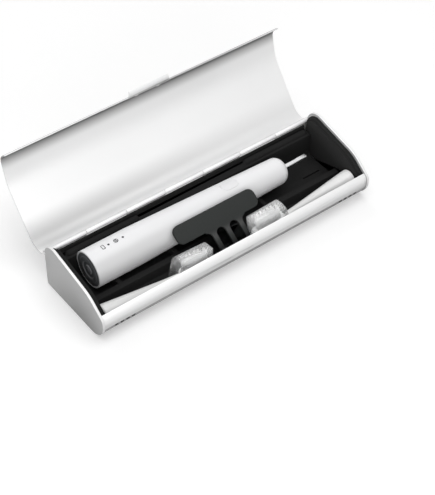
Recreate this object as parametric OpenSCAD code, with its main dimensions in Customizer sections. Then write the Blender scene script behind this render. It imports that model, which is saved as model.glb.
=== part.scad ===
/* [Case] */
// Length of the case, end cap to end cap
case_len = 235; // [220:1:260]
// Depth of the case, front nose to rear wall
case_depth = 69; // [66:0.5:72]
// Height of the rear top corner before it is rounded
rear_corner_h = 43.6; // [43:0.1:46]
// Height of the brow, where the top bends down to the nose
brow_h = 32.7; // [32:0.1:34]
// Distance of the brow behind the nose
brow_in = 16.6; // [15:0.1:18]
// Height of the top of the nose before it is rounded
nose_h = 20.6; // [20:0.1:22]
// Radius of the rounded nose
nose_r = 15.2; // [12:0.1:15.5]
// Radius of the rear top corner
rear_top_r = 11.5; // [9:0.1:12]
// Sheet thickness of the base shell
base_wall = 1.2; // [1:0.1:1.5]
// Thickness of each end cap
cap_t = 2; // [1.5:0.1:2.5]
// Thickness of the dark liner behind each end cap
liner_t = 4.4; // [3:0.1:5]

/* [Lid] */
// Sheet thickness of the lid
lid_wall = 1; // [0.8:0.1:1.2]
// Angle by which the lid stands open
lid_open = 140; // [120:1:145]
// Height of the lid's front edge above the table when closed
seam_h = 11; // [10:0.5:13]
// Width of the finger tab on the lid's front edge
tab_w = 34; // [25:1:50]
// Diameter of the hinge pin
hinge_pin_d = 1.6; // [1.2:0.1:2]
// Outer diameter of the hinge knuckles
knuckle_d = 3.6; // [3.2:0.1:4]

/* [Toothbrush] */
// Diameter of the toothbrush handle at its base
handle_d = 28; // [26:0.5:28]
// Diameter of the toothbrush handle at its shoulder
shoulder_d = 20.6; // [18:0.2:22]
// Length of the toothbrush handle without its drive shaft
handle_len = 171; // [160:0.5:175]
// Diameter of the drive shaft
shaft_d = 3.8; // [3:0.1:4]
// Length of drive shaft that stands out of the handle
shaft_out = 21.5; // [15:0.5:22]
// Travel of the power button
button_travel = 0.35; // [0.2:0.05:0.4]

/* [Brush heads] */
// Length of a brush head
head_len = 91; // [82:0.2:91]
// Diameter of a brush head at its base
head_base_d = 13.8; // [12:0.2:14]
// Diameter of a brush head at its neck
head_neck_d = 5.6; // [5:0.2:6]
// Width of the part that carries the bristles
head_w = 9.8; // [9:0.2:10]
// Length of the bristles above their base
bristle_h = 10; // [9:0.5:10.5]
// Angle by which each brush head lies rolled towards the handle
head_roll = 8; // [0:1:8]
// Angle by which each brush head leans down towards its tip
head_lean = 2.6; // [0:0.1:3]

/* [Retainer] */
// Width of the retainer plate along the case
plate_w = 70.6; // [60:0.2:71]
// Depth of the retainer plate down its slope
plate_d = 14; // [11:0.1:14]
// Thickness of the retainer plate and its fingers
plate_t = 2.2; // [1.8:0.1:2.4]
// Spacing of the three retainer fingers
finger_pitch = 11.3; // [11:0.1:11.5]
// Width of each retainer finger
finger_w = 3.8; // [3:0.1:4]

/* [Hidden] */
$fn = 72;
eps = 0.01;

// Running gap between parts that move past each other
gap = 0.3;
// Radial clearance of a pin in its bore
pin_fit = 0.06;

// Places along the case, across it and up are x, y and z, with y pointing to the hinge.
half_len = case_len / 2;
rear_y = case_depth / 2;
nose_y = -case_depth / 2;
bottom_r = 2;
brow_r = 28;
nose_top_r = 6;
nose_inset = 0.8;
inner_half = half_len - cap_t;
tray_end_play = 0.1;
tray_half = inner_half - liner_t - tray_end_play;
liner_inset = 2.1;

case_pts = [[rear_y, 0], [rear_y, rear_corner_h], [nose_y + brow_in, brow_h], [nose_y, nose_h], [nose_y, 0]];
case_rads = [bottom_r, rear_top_r, brow_r, nose_top_r, nose_r];
base_pts = [[rear_y, 0], [rear_y, rear_corner_h], [nose_y + brow_in, brow_h - nose_inset],
    [nose_y + nose_inset, nose_h - nose_inset / 2], [nose_y + nose_inset, 0]];
base_rads = [bottom_r, rear_top_r, brow_r, nose_top_r - nose_inset, nose_r - nose_inset];

lip_y = -30.4;
nose_keep_z = 15;
rear_wall_h = 26.4;

// Hinge axis behind the rear wall
hinge = [34.4, 29.8];
knuckle_r = knuckle_d / 2;
hinge_pin_r = hinge_pin_d / 2;
segments = 7;
segment_len = case_len / segments;
strip_lap = 1;
lid_start_up = 0.8;
lid_start_z = hinge[1] + knuckle_r + lid_start_up;

// Vent slots low on the nose near each end
vent_z = 10;
vent_first = 91.8;
vent_pitch = 4.6;
vent_w = 2.9;
vent_h = 2;
vents = 4;
vent_deep = 8;

// Snap dimples that hold the lid shut
dimple_x = 9.2;
dimple_z = 14;
dimple_r = 3;
dimple_deep = 0.35;

// Curl of the finger tab
curl_r = 4;
curl_sink = 0.35;
curl_up = 0.4;
curl_cut = 1;

// Tray
tray_play = 0.15;
tray_fit = base_wall + tray_play;
ledge_y = 24.4;
ledge_z = 24.3;
rear_lip_z = 27.8;
rear_lip_y = 31.9;
ledge_bar_r = 2.6;
ledge_bar_y = 28.8;
left_bar = [-102, -46];
right_bar = [53, 107];
bed_y = -4.2;
bed_z = 4;
bed_r = 5;
ridge_z = 11.2;
ridge_front_y = -9;
trough_rear_y = -9.9;
trough_front_y = -30.6;
trough_z = 4;
trough_bevel = 4;
tray_skin = 1.6;
slit = [90.2, 106.4];
slit_y = 6.6;
slit_w = 1.2;
saddle_t = 3;
saddle_top = ridge_z;
saddles = [-84, -36, 44];
cradles = [99, 66];
cradle_w = 0.72;
cradle_drop = 0.55;
cradle_gap = 0.5;

// Toothbrush
axis = [9.86, 22.2];
handle_x0 = -98.9;
handle_x1 = handle_x0 + handle_len;
handle_r = handle_d / 2;
shoulder_r = shoulder_d / 2;
taper_x0 = -62;
end_r = 7;
taper_x1 = handle_x1 - end_r;
skin = 1.5;
cap_bore_wall = 1.2;
cap_bore_r = handle_r - cap_bore_wall;
cap_depth = 8;
shaft_r = shaft_d / 2;
button_x = 22;
button_len = 14;
button_w = 8;
button_fit = 0.1;
button_proud = 0.15;
button_under_r = 9.85;
button_hole_z = 5;
guide_r = 0.8;
guide_xs = [-81.6, -69.8];
board_z = 7.4;
board_t = 1;
board_w = 7;
board_past = 6;
switch_w = 4;
switch_h = 0.5;
plunger_r = 1;
plunger_h = 0.7;
seal_r = 3.2;
seal_len = 4.5;
seal_proud = 0.4;
press_fit = 0.02;

// Base cap with its seal and the charging coil behind it
cap_plate = 2.4;
cap_land = 5;
cap_end_gap = 0.4;
cap_fit = 0.1;
cap_wall = 2.6;
seal_groove = 1.4;
seal_fit = 0.07;
cord_r = 0.65;
ring_rs = [3.4, 6.4];
ring_deep = 0.5;
coil_x = [handle_x0 + 3, handle_x0 + 6.5];
coil_rs = [5, 9.4];

// Battery cell, motor and the chassis that carries them
battery = [-86, -37];
battery_r = 7;
battery_tip_r = 2.5;
tip_h = 1;
motor_span = [-31, 26];
motor_r = 6.8;
motor_nose = 1.5;
motor_nose_r = 3;
chassis_span = [-88, 50];
chassis_r = 8.3;
cradle_low = 2;
block_x = [30, 34];
block_high = 5;
block_wall = 3;
block_step = 0.5;
pocket_gap = 0.25;
shaft_in = 7;
flat_len = 9;
flat_deep = 0.6;

function handle_radius(x) = x < taper_x0 ? handle_r
    : handle_r - (handle_r - shoulder_r) * (x - taper_x0) / (taper_x1 - taper_x0);

// Brush heads lie along the front trough with their bases at the outer ends
left_seat = [-22.3, 12.85];
right_seat = [-21.5, 14.75];
head_x = 110.3;
head_r = head_base_d / 2;
neck_r = head_neck_d / 2;
neck_start = 52;
neck_end = 64.8;
base_round = 1.5;
base_flat = 3;
head_end_r = 13.2;
head_half = head_w / 2;
head_t = 4.2;
slice_t = 0.8;
slice_rim = 1;
slice_side = 1.2;
socket_r = 3.9;
socket_deep = 6;
sleeve_fit = 0.02;
sleeve_r = 3.15;
sleeve_len = 14;
tuft_cols = 7;
tuft_rows = 4;
tuft_pitch = [2.9, 2.3];
tuft_r = 0.62;
tuft_drop = [1, 0.4];
strand_r = 0.24;
strands = 7;
strand_root = 0.2;
cover_wall = 0.8;
cover_side = 0.4;
cover_half = head_half + cover_side + cover_wall;
cover_room = 1.7;
cover_top = head_t / 2 + slice_t + bristle_h + cover_room + cover_wall;
cover_bottom = -2.9;
cover_corner_r = 4.5;
cover_tip_r = 6;
cover_foot_r = 0.4;
cover_over = 0.2;
left_cover_shift = -1;
right_cover_shift = 1;
cover_open_top = 64.3;
cover_open_bottom = 59.3;
cover_end = 1.4;
cover_tip = head_len + cover_end + cover_wall;

// Retainer: a sloping plate over the handle whose fingers run down to a foot bar in the front trough
retainer_x = 1;
plate_x = -2.6;
plate_rear = [-1.4, 34];
plate_slope = 35.2;
plate_corner_r = 5;
finger_end_y = -28.8;
finger_len = (plate_rear[0] - finger_end_y) / cos(plate_slope) - plate_d;
finger_lap = 1;
leg_y = [-28.2, -26];
leg_top = 14.5;
leg_inset = 0.3;
foot = [-27.6, 10.6];
foot_r = 2;
foot_pin_r = 0.9;
foot_over = 0.2;
foot_half = finger_pitch + finger_w / 2 + foot_over;
lug_t = 1.8;
bracket_t = 1.5;
bracket_fit = 0.1;
slot_r = (finger_pitch - finger_w) / 2;

// Outline maths: each corner of a convex outline is replaced by an arc
function unit(v) = v / norm(v);
function prev(p, i) = p[(i + len(p) - 1) % len(p)];
function next(p, i) = p[(i + 1) % len(p)];
function to_prev(p, i) = unit(prev(p, i) - p[i]);
function to_next(p, i) = unit(next(p, i) - p[i]);
function half_angle(p, i) = acos(to_prev(p, i) * to_next(p, i)) / 2;
function inward(p, i) = unit(to_prev(p, i) + to_next(p, i));
function inset(p, d) = [for (i = [0:len(p) - 1]) p[i] + inward(p, i) * d / sin(half_angle(p, i))];
least_r = 0.4;
function inset_rads(r, d) = [for (v = r) max(v - d, least_r)];

// Point on an edge where the arc of corner i starts or ends
function edge_point(p, r, i, way) = p[i] + way * r[i] / tan(half_angle(p, i));

module rounded(p, r) {
    starts = [for (i = [0:len(p) - 1]) edge_point(p, r, i, to_prev(p, i))];
    ends = [for (i = [0:len(p) - 1]) edge_point(p, r, i, to_next(p, i))];
    polygon([for (i = [0:len(p) - 1]) each [starts[i], ends[i]]]);
    for (i = [0:len(p) - 1]) intersection() {
        polygon([starts[i], p[i], ends[i]]);
        translate(p[i] + inward(p, i) * r[i] / sin(half_angle(p, i))) circle(r = r[i]);
    }
}

module case_outline(d) { rounded(inset(case_pts, d), inset_rads(case_rads, d)); }
module base_outline(d) { rounded(inset(base_pts, d), inset_rads(base_rads, d)); }

// Extrudes an outline drawn in y and z along x
module along_x(x0, x1) {
    translate([x0, 0, 0]) rotate([90, 0, 90]) linear_extrude(x1 - x0) children();
}

// Round bar along x at a place in y and z
module bar_x(x0, x1, at, r) {
    translate([x0, at[0], at[1]]) rotate([0, 90, 0]) cylinder(r = r, h = x1 - x0);
}

// Box between two corners
module box(a, b) { translate(a) cube(b - a); }

// Flat shape with round ends, drawn along x
module slot_2d(l, w) {
    square([l - w, w], center = true);
    for (s = [-1, 1]) translate([s * (l - w) / 2, 0]) circle(d = w);
}

// Case
module base_section() {
    intersection() {
        difference() {
            base_outline(0);
            base_outline(base_wall);
        }
        union() {
            translate([nose_y, 0]) square([case_depth, nose_keep_z]);
            translate([nose_y, 0]) square([lip_y - nose_y, rear_corner_h]);
            square([rear_y, rear_wall_h]);
        }
    }
}

module vent_slots() {
    for (s = [-1, 1])
        for (i = [0:vents - 1])
            translate([s * (vent_first + i * vent_pitch), nose_y + vent_deep, vent_z])
                rotate([90, 0, 0]) linear_extrude(vent_deep + 1) slot_2d(vent_w, vent_h);
}

// Knuckles of the hinge over the segments that start at first and step by two
module knuckles(first) {
    for (i = [first:2:segments - 1]) {
        x0 = max(-half_len + i * segment_len + gap / 2, -inner_half);
        x1 = min(-half_len + (i + 1) * segment_len - gap / 2, inner_half);
        bar_x(x0, x1, hinge, knuckle_r);
        hinge_strip(x0, x1, first);
    }
}

// Strip that ties a knuckle to the rear wall of the base or to the lid
module hinge_strip(x0, x1, first) {
    if (first == 0)
        box([x0, rear_y - base_wall, rear_wall_h - strip_lap], [x1, rear_y, hinge[1]]);
    else
        box([x0, rear_y + gap, hinge[1]], [x1, rear_y + gap + lid_wall, lid_start_z + strip_lap]);
}

module base_shell() color("gainsboro") difference() {
    union() {
        along_x(-inner_half, inner_half) base_section();
        knuckles(0);
    }
    bar_x(-half_len, half_len, hinge, hinge_pin_r + pin_fit);
    vent_slots();
    for (s = [-1, 1])
        translate([s * dimple_x, base_pts[4][0] - dimple_r + dimple_deep, dimple_z]) sphere(r = dimple_r);
}

module end_cap(x0) difference() {
    union() {
        along_x(x0, x0 + cap_t) case_outline(0);
        bar_x(x0, x0 + cap_t, hinge, knuckle_r);
    }
    bar_x(x0 - 1, x0 + cap_t + 1, hinge, hinge_pin_r + pin_fit);
}

module left_end_cap() color("silver") end_cap(-half_len);
module right_end_cap() color("silver") end_cap(inner_half);

// Dark end piece: a plate that follows the end cap, with a lower step inside
module end_liner(side) {
    near = inner_half - liner_t;
    step = inner_half - liner_t / 2;
    for (part = [[near, step, 2 * liner_inset], [step, inner_half, liner_inset]])
        along_x(side > 0 ? part[0] : -part[1], side > 0 ? part[1] : -part[0])
            intersection() {
                case_outline(part[2]);
                base_outline(tray_fit);
            }
}

module left_end_liner() color([0.15, 0.15, 0.15]) end_liner(-1);
module right_end_liner() color([0.15, 0.15, 0.15]) end_liner(1);

module tray_section() difference() {
    intersection() {
        base_outline(tray_fit);
        polygon([[nose_y, 0], [rear_y, 0], [rear_y, rear_lip_z], [rear_lip_y, rear_lip_z], [rear_lip_y, ledge_z],
            [ledge_y, ledge_z], [ledge_y, ridge_z], [trough_front_y, ridge_z], [trough_front_y, nose_h],
            [nose_y, nose_h]]);
    }
    rounded([[ledge_y, bed_z], [ledge_y, case_depth], [bed_y, case_depth], [bed_y, bed_z]],
        [bed_r, 1, 1, bed_r]);
    polygon([[ridge_front_y, ridge_z], [ridge_front_y, case_depth], [trough_front_y, case_depth],
        [trough_front_y, trough_z + trough_bevel], [trough_front_y + trough_bevel, trough_z],
        [trough_rear_y, trough_z]]);
    translate([ledge_y + tray_skin, -1])
        square([rear_y - tray_fit - 2 * tray_skin - ledge_y, ledge_z - tray_skin + 1]);
}

module ledge_bar(span) {
    bar_x(span[0], span[1], [ledge_bar_y, ledge_z], ledge_bar_r);
    for (x = span) translate([x, ledge_bar_y, ledge_z]) sphere(r = ledge_bar_r);
}

module handle_saddles() {
    for (x = saddles) difference() {
        box([x, bed_y - eps, bed_z - eps], [x + saddle_t, ledge_y + eps, saddle_top]);
        bar_x(x - 1, x + saddle_t + 1, axis, handle_radius(x) + gap);
    }
}

// Small cradles hidden under each brush head
module head_cradles() {
    for (s = [-1, 1])
        for (x = cradles) {
            r = head_radius(head_x - x);
            at = [head_seat(s)[0], head_seat(s)[1] - (head_x - x) * sin(head_lean)];
            difference() {
                box([s * x - saddle_t / 2, at[0] - cradle_w * r, trough_z - eps],
                    [s * x + saddle_t / 2, at[0] + cradle_w * r, at[1] - cradle_drop * r]);
                bar_x(s * x - saddle_t, s * x + saddle_t, at, r + cradle_gap);
            }
        }
}

function head_seat(side) = side < 0 ? left_seat : right_seat;
function head_radius(x) = x < base_flat ? head_r : x > neck_start ? neck_r
    : head_r - (head_r - neck_r) * (x - base_flat) / (neck_start - base_flat);

module tray() color([0.1, 0.1, 0.1]) difference() {
    union() {
        along_x(-tray_half, tray_half) tray_section();
        intersection() {
            union() {
                ledge_bar(left_bar);
                ledge_bar(right_bar);
            }
            box([-tray_half, ledge_y, ledge_z - eps], [tray_half, rear_y - tray_fit, ledge_z + ledge_bar_r]);
        }
        handle_saddles();
        head_cradles();
    }
    box([slit[0], slit_y - slit_w / 2, 0], [slit[1], slit_y + slit_w / 2, bed_z + 1]);
}

module hinge_pin() color("lightgray") bar_x(-half_len, half_len, hinge, hinge_pin_r);

// Lid, drawn closed and then turned about the hinge
module lid_section() {
    intersection() {
        difference() {
            case_outline(-gap - lid_wall);
            case_outline(-gap);
        }
        union() {
            translate([0, lid_start_z]) square([case_depth, rear_corner_h]);
            translate([-case_depth, seam_h]) square([case_depth + eps, rear_corner_h]);
        }
    }
}

// Finger tab: a quarter curl that leads away from the nose
module tab_section() {
    c = [nose_y - gap - lid_wall - curl_r + curl_sink, seam_h + curl_up];
    intersection() {
        difference() {
            translate(c) circle(r = curl_r + lid_wall);
            translate(c) circle(r = curl_r);
        }
        translate([c[0] + curl_cut, c[1] - 2 * curl_r]) square([2 * curl_r, 2 * curl_r + eps]);
    }
}

module lid_shell() color("gainsboro") translate([0, hinge[0], hinge[1]]) rotate([-lid_open, 0, 0])
    translate([0, -hinge[0], -hinge[1]]) difference() {
        union() {
            along_x(-half_len, half_len) lid_section();
            along_x(-tab_w / 2, tab_w / 2) tab_section();
            knuckles(1);
            intersection() {
                for (s = [-1, 1])
                    translate([s * dimple_x, nose_y + nose_inset + dimple_deep - dimple_r - gap, dimple_z])
                        sphere(r = dimple_r);
                along_x(-tab_w, tab_w) case_outline(-gap - lid_wall / 2);
            }
        }
        bar_x(-half_len, half_len, hinge, hinge_pin_r + pin_fit);
    }

// Retainer, drawn flat with x along the case and y down its slope
module plate_outline() {
    r = plate_corner_r;
    rounded([[plate_w / 2, 0], [plate_w / 2, plate_d], [-plate_w / 2, plate_d], [-plate_w / 2, 0]],
        [r, r, r, r]);
}

module finger_outline() {
    difference() {
        union() {
            for (i = [-1:1]) translate([i * finger_pitch - finger_w / 2, -finger_lap])
                square([finger_w, finger_len + finger_lap]);
            translate([-1.5 * finger_pitch, -finger_lap]) square([3 * finger_pitch, slot_r + 2 * finger_lap]);
        }
        for (i = [-1.5:1.5]) translate([i * finger_pitch, slot_r + finger_lap]) circle(r = slot_r);
    }
}

// Bracket in the trough's front corner, with open slots that the ends of the retainer's pin drop into
module retainer_bracket() color([0.1, 0.1, 0.1]) difference() {
    low = trough_z + bracket_fit;
    bevel_y = trough_front_y + trough_bevel + bracket_fit;
    rear = foot[0] + foot_r;
    front = foot[0] - foot_r;
    x0 = retainer_x - foot_half - gap - lug_t;
    x1 = retainer_x + foot_half + gap + lug_t;
    along_x(x0, x1) union() {
        polygon([[bevel_y, low], [rear, low], [rear, foot[1]], [front, foot[1]], [front, low + bevel_y - front]]);
        translate(foot) circle(r = foot_r);
    }
    box([x0 + lug_t, front - 1, low + bracket_t], [x1 - lug_t, rear + 1, foot[1] + 2 * foot_r]);
    bar_x(x0 - 1, x1 + 1, foot, foot_pin_r + pin_fit);
    box([x0 - 1, foot[0] - foot_pin_r - eps, foot[1]],
        [x1 + 1, foot[0] + foot_pin_r + eps, foot[1] + 2 * foot_r]);
}

module retainer() color([0.22, 0.22, 0.22]) difference() {
    union() {
        translate([0, plate_rear[0], plate_rear[1]]) rotate([180 + plate_slope, 0, 0])
            linear_extrude(plate_t) {
                translate([plate_x, 0]) plate_outline();
                translate([retainer_x, plate_d]) finger_outline();
            }
        for (i = [-1:1]) {
            x = retainer_x + i * finger_pitch;
            box([x - finger_w / 2 + leg_inset, leg_y[0], foot[1]], [x + finger_w / 2 - leg_inset, leg_y[1], leg_top]);
        }
        bar_x(retainer_x - foot_half, retainer_x + foot_half, foot, foot_r);
    }
    bar_x(-plate_w, plate_w, foot, foot_pin_r + pin_fit);
}

module retainer_pin() color("lightgray")
    bar_x(retainer_x - foot_half - gap - lug_t, retainer_x + foot_half + gap + lug_t, foot, foot_pin_r);

// Toothbrush: places along its axis are the case's x, and up is z from the axis
module on_axis() { translate([0, axis[0], axis[1]]) children(); }

// Turns an outline of radius against x about the handle's axis
module turned() { on_axis() rotate([0, 90, 0]) rotate_extrude() rotate([0, 0, 90]) children(); }

// Half outline of the handle, inset by d, drawn with x along it and the radius below the line
module handle_half(d) {
    r_end = end_r - d;
    intersection() {
        union() {
            polygon([[handle_x0 - 2 * d, 0], [handle_x0 - 2 * d, -(handle_r - d)],
                [taper_x0, -(handle_r - d)], [taper_x1, -(shoulder_r - d)], [taper_x1, 0]]);
            translate([taper_x1, -(shoulder_r - end_r)]) circle(r = r_end);
            translate([taper_x1 - eps, -(shoulder_r - end_r)]) square([r_end + eps, shoulder_r - end_r]);
        }
        translate([handle_x0 - handle_r, -2 * handle_r]) square([handle_len + handle_d, 2 * handle_r]);
    }
}

module handle_solid(d) { turned() handle_half(d); }

module rod(x0, x1, r) { bar_x(x0, x1, axis, r); }

module button_hole(grow) {
    translate([button_x, axis[0], axis[1] + button_hole_z]) linear_extrude(handle_r - button_hole_z + 1)
        slot_2d(button_len + 2 * grow, button_w + 2 * grow);
}

module guide_posts(r, z0, z1) {
    for (x = guide_xs) translate([x, axis[0], axis[1] + z0]) cylinder(r = r, h = z1 - z0);
}

module handle_housing() color("white") difference() {
    handle_solid(0);
    difference() {
        handle_solid(skin);
        rod(handle_x0 - handle_r, handle_x0, 2 * handle_r);
    }
    rod(handle_x0 - 1, handle_x0 + cap_depth, cap_bore_r);
    rod(handle_x1 - 2 * seal_len, handle_x1 + 1, seal_r + press_fit);
    button_hole(button_fit);
    guide_posts(guide_r + press_fit, board_z, handle_r + 1);
}

module base_cap() color([0.22, 0.22, 0.22]) difference() {
    union() {
        rod(handle_x0, handle_x0 + cap_plate, cap_bore_r - cap_fit);
        rod(handle_x0 + cap_plate, handle_x0 + cap_depth - cap_end_gap, cap_bore_r - seal_groove);
        rod(handle_x0 + cap_land, handle_x0 + cap_depth - cap_end_gap, cap_bore_r - cap_fit);
    }
    rod(handle_x0 + cap_plate, handle_x0 + cap_depth, cap_bore_r - cap_wall);
    difference() {
        rod(handle_x0 - 1, handle_x0 + ring_deep, ring_rs[1]);
        rod(handle_x0 - 1, handle_x0 + 1, ring_rs[0]);
    }
}

module base_seal() color([0.1, 0.1, 0.1]) on_axis()
    translate([handle_x0 + (cap_plate + cap_land) / 2, 0, 0]) rotate([0, 90, 0])
        rotate_extrude() translate([cap_bore_r - cord_r - seal_fit, 0]) circle(r = cord_r, $fn = 32);

module charging_coil() color("peru") difference() {
    rod(coil_x[0], coil_x[1], coil_rs[1]);
    rod(coil_x[0] - 1, coil_x[1] + 1, coil_rs[0]);
}

module battery_cell() color("steelblue") union() {
    rod(battery[0], battery[1], battery_r);
    rod(battery[1] - eps, battery[1] + tip_h, battery_tip_r);
}

module chassis() color("lightgray") difference() {
    union() {
        intersection() {
            rod(chassis_span[0], chassis_span[1], chassis_r);
            box([chassis_span[0], axis[0] - handle_r, axis[1] - handle_r],
                [chassis_span[1], axis[0] + handle_r, axis[1] - cradle_low]);
        }
        intersection() {
            rod(block_x[0], chassis_span[1], chassis_r);
            box([block_x[0], axis[0] - handle_r, axis[1] - handle_r],
                [chassis_span[1], axis[0] + handle_r, axis[1] + block_high]);
        }
    }
    rod(chassis_span[0] - 1, block_x[0] - cradle_low, battery_r + pocket_gap);
    rod(block_x[1], chassis_span[1] - block_wall, battery_r - block_step);
    rod(block_x[0] - cradle_low - eps, chassis_span[1] + 1, shaft_r + block_step);
}

module circuit_board() color("darkgreen")
    box([battery[0] + cradle_low, axis[0] - board_w / 2, axis[1] + board_z],
        [button_x + board_past, axis[0] + board_w / 2, axis[1] + board_z + board_t]);

module button_switch() color("dimgray") {
    z = axis[1] + board_z + board_t;
    box([button_x - switch_w / 2, axis[0] - switch_w / 2, z],
        [button_x + switch_w / 2, axis[0] + switch_w / 2, z + switch_h]);
    translate([button_x, axis[0], z]) cylinder(r = plunger_r, h = plunger_h);
}

module motor() color("silver") difference() {
    union() {
        rod(motor_span[0], motor_span[1], motor_r);
        rod(motor_span[1] - eps, motor_span[1] + motor_nose, motor_nose_r);
    }
    rod(motor_span[1] - shaft_in - 1, motor_span[1] + 2 * motor_nose, shaft_r + pin_fit);
}

module drive_shaft() color("lightgray") difference() {
    rod(motor_span[1] - shaft_in, handle_x1 + shaft_out, shaft_r);
    box([handle_x1 + shaft_out - flat_len, axis[0] - shaft_d, axis[1] + shaft_r - flat_deep],
        [handle_x1 + shaft_out + 1, axis[0] + shaft_d, axis[1] + shaft_d]);
}

module shaft_seal() color([0.75, 0.75, 0.75]) difference() {
    rod(handle_x1 - seal_len, handle_x1 + seal_proud, seal_r);
    rod(handle_x1 - seal_len - 1, handle_x1 + 1, shaft_r + pin_fit);
}

module power_button() color("whitesmoke") intersection() {
    button_hole(0);
    difference() {
        handle_solid(-button_proud);
        rod(button_x - button_len, button_x + button_len, button_under_r);
    }
}

module light_guides() color("white") intersection() {
    guide_posts(guide_r, board_z + board_t + 2 * eps, handle_r + 1);
    handle_solid(0);
}

// Brush heads, drawn along +x from the base with the bristles up, then laid in the case
module in_case(side) {
    translate([side * head_x, head_seat(side)[0], head_seat(side)[1]]) rotate([-head_roll, 0, 0])
        mirror([side > 0 ? 1 : 0, 0, 0]) rotate([0, head_lean, 0]) children();
}

module head_neck() {
    rotate([0, 90, 0]) rotate_extrude() rotate([0, 0, 90])
        intersection() {
            union() {
                polygon([[0, 0], [0, -(head_r - base_round)], [base_round, -head_r], [base_flat, -head_r],
                    [neck_start, -neck_r], [neck_end, -head_t / 2], [neck_end + head_half, -head_t / 2],
                    [neck_end + head_half, 0]]);
                translate([base_round, -(head_r - base_round)]) circle(r = base_round);
            }
            translate([0, -2 * head_r]) square([head_len, 2 * head_r]);
        }
}

module head_body() color("white") difference() {
    union() {
        head_neck();
        translate([head_len - head_end_r, 0, -head_t / 2]) linear_extrude(head_t) slot_2d(2 * head_end_r, head_w);
    }
    rotate([0, 90, 0]) translate([0, 0, -1]) cylinder(r = socket_r, h = socket_deep + 1);
    rotate([0, 90, 0]) cylinder(r = sleeve_r + sleeve_fit, h = socket_deep + sleeve_len);
}

module head_sleeve() color("lightgray") rotate([0, 90, 0]) difference() {
    translate([0, 0, socket_deep]) cylinder(r = sleeve_r, h = sleeve_len);
    cylinder(r = shaft_r + pin_fit, h = socket_deep + sleeve_len + 1);
}

// Strands stand in round tufts on a grid without its corners, and the end columns are the tallest
function is_tuft(c, r) = !((c == 0 || c == tuft_cols - 1) && (r == 0 || r == tuft_rows - 1));
function tuft_at(c, r) = [head_len - head_end_r + (c - (tuft_cols - 1) / 2) * tuft_pitch[0],
    (r - (tuft_rows - 1) / 2) * tuft_pitch[1]];

module tufts(cols, h) {
    translate([0, 0, head_t / 2 + slice_t - strand_root]) linear_extrude(h + strand_root)
        for (c = cols)
            for (r = [0:tuft_rows - 1])
                if (is_tuft(c, r)) translate(tuft_at(c, r)) {
                    circle(r = strand_r, $fn = 3);
                    for (k = [1:strands]) rotate(k * 360 / strands) translate([tuft_r, 0])
                        circle(r = strand_r, $fn = 3);
                }
}

module bristles() color("white") union() {
    translate([head_len - head_end_r, 0, head_t / 2]) linear_extrude(slice_t)
        slot_2d(2 * (head_end_r - slice_rim), head_w - slice_side);
    tufts([0, tuft_cols - 1], bristle_h);
    tufts([for (c = [1:2:tuft_cols - 2]) c], bristle_h - tuft_drop[0]);
    tufts([for (c = [2:2:tuft_cols - 2]) c], bristle_h - tuft_drop[1]);
}

module cover_solid(d) {
    w = cover_half - d;
    r = cover_corner_r - d;
    x1 = cover_tip - d;
    z0 = cover_bottom - 2 * d;
    z1 = cover_top - d;
    over = cover_over;
    intersection() {
        rotate([90, 0, 90]) linear_extrude(x1 + 1)
            rounded([[w, z0], [w, z1], [-w, z1], [-w, z0]], [cover_foot_r, r, r, cover_foot_r]);
        translate([0, 0, z0 - 1]) linear_extrude(z1 - z0 + 2) union() {
            square([2 * (x1 - w), 2 * w], center = true);
            translate([x1 - w, 0]) circle(r = w);
        }
        rotate([90, 0, 0]) translate([0, 0, -2 * w]) linear_extrude(4 * w)
            rounded([[x1 + over, z0 - 1], [x1 + over, z1 + over], [-1, z1 + over], [-1, z0 - 1]],
                [cover_foot_r, cover_tip_r - d + over, cover_foot_r, cover_foot_r]);
    }
}

// The open end slants out towards the foot
module cover_mouth() {
    translate([cover_open_bottom, 0, cover_bottom])
        rotate([0, atan2(cover_open_top - cover_open_bottom, cover_top - cover_bottom), 0])
            translate([-2 * head_len, -head_len, -head_len]) cube(2 * head_len);
}

module cover(shift) color([0.85, 0.9, 0.92, 0.5]) translate([shift, 0, 0]) difference() {
    cover_solid(0);
    cover_solid(cover_wall);
    cover_mouth();
}

module left_head_body() { in_case(-1) head_body(); }
module left_head_sleeve() { in_case(-1) head_sleeve(); }
module left_bristles() { in_case(-1) bristles(); }
module left_cover() { in_case(-1) cover(left_cover_shift); }
module right_head_body() { in_case(1) head_body(); }
module right_head_sleeve() { in_case(1) head_sleeve(); }
module right_bristles() { in_case(1) bristles(); }
module right_cover() { in_case(1) cover(right_cover_shift); }

base_shell();
left_end_cap();
right_end_cap();
left_end_liner();
right_end_liner();
tray();
hinge_pin();
lid_shell();
retainer_bracket();
retainer();
retainer_pin();
handle_housing();
base_cap();
base_seal();
charging_coil();
battery_cell();
chassis();
circuit_board();
button_switch();
motor();
drive_shaft();
shaft_seal();
power_button();
light_guides();
left_head_body();
left_head_sleeve();
left_bristles();
left_cover();
right_head_body();
right_head_sleeve();
right_bristles();
right_cover();
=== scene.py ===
"""Dresses the electric toothbrush travel case and lights it as a studio picture.

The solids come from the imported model. This file gives each one its finish, rounds the edges of the
sheet metal and mouldings, and adds the finer pieces: the bristles and the marks on the handle.
All lengths are metres in the part's own frame: x along the case, y to the hinge, z up.
"""

import logging
import math
import random
from dataclasses import dataclass, field
from enum import Enum
from typing import Iterable, Sequence

import bmesh
import bpy
from mathutils import Matrix, Vector


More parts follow.
